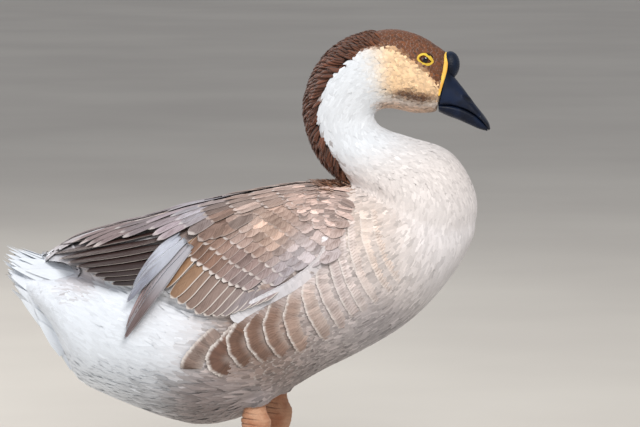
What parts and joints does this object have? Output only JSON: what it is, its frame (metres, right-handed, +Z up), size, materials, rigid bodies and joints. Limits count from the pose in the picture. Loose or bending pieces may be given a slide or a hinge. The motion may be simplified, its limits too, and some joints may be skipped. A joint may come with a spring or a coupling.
{
  "type": "domestic goose",
  "caption": "Life-size knobbed domestic goose standing at rest, neck drawn back in an S, black bill and knob, brown nape stripe, folded brown wings and white rear.",
  "frame": {"origin": "on the floor, under the middle of the goose's bounding box, between the two feet", "axes": "+X points to the bill, +Y to the goose's own left side, +Z is up"},
  "size_m": [0.5401, 0.2338, 0.5147],
  "materials": {
    "feathers_white": "soft",
    "feathers_breast": "soft",
    "feathers_nape": "soft",
    "feathers_face": "soft",
    "feathers_wing": "soft",
    "feathers_dark": "soft",
    "bill": "glossy horn",
    "leg_skin": "scaly",
    "claw": "dull horn",
    "eye": "wet"
  },
  "bodies": {
    "root": {"trunk_rump": "feathers_white", "trunk_belly": "feathers_white", "trunk_breast": "feathers_breast", "neck_lower": "feathers_breast", "neck_middle": "feathers_white", "neck_upper": "feathers_nape", "head": "feathers_face", "knob": "bill", "bill_upper": "bill", "bill_nail": "bill", "bill_lower": "bill", "tail": "feathers_white", "eye_right": "eye", "wing_right": "feathers_wing", "primaries_right": "feathers_dark", "tertials_right": "feathers_wing", "thigh_right": "feathers_white", "shank_right": "leg_skin", "foot_right": "leg_skin", "claw_right_inner": "claw", "claw_right_middle": "claw", "claw_right_outer": "claw", "claw_right_hind": "claw", "eye_left": "eye", "wing_left": "feathers_wing", "primaries_left": "feathers_dark", "tertials_left": "feathers_wing", "thigh_left": "feathers_white", "shank_left": "leg_skin", "foot_left": "leg_skin", "claw_left_inner": "claw", "claw_left_middle": "claw", "claw_left_outer": "claw", "claw_left_hind": "claw"}
  },
  "joints": []
}
